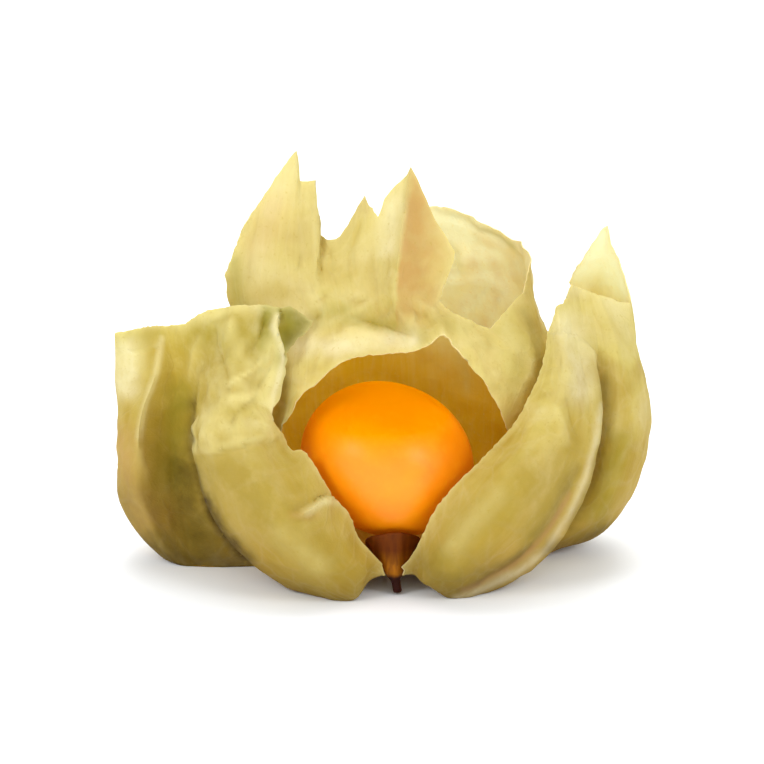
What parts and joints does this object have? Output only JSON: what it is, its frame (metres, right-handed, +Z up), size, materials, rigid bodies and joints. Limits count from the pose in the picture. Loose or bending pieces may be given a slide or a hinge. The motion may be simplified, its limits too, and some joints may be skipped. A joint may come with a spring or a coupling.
{
  "type": "physalis berry in torn husk",
  "caption": "Round orange berry held by a short stem stub inside a papery husk that is torn open at the front into broad lobes and pointed tips.",
  "frame": {"origin": "centre of the bounding box's base, on the surface the fruit rests on", "axes": "-Y towards the stem end and the open window in the husk, +X to the right as seen from there, +Z up"},
  "size_m": [0.055, 0.0314, 0.043],
  "materials": {
    "husk": "dry papery leaf, thin and slightly see-through, yellow-olive outside and cream inside, with raised veins",
    "berry": "smooth waxy orange skin with a soft gloss",
    "stem": "dry dark maroon-brown, fibrous"
  },
  "bodies": {
    "root": {"husk": "husk", "berry": "berry", "stem": "stem"}
  },
  "joints": []
}
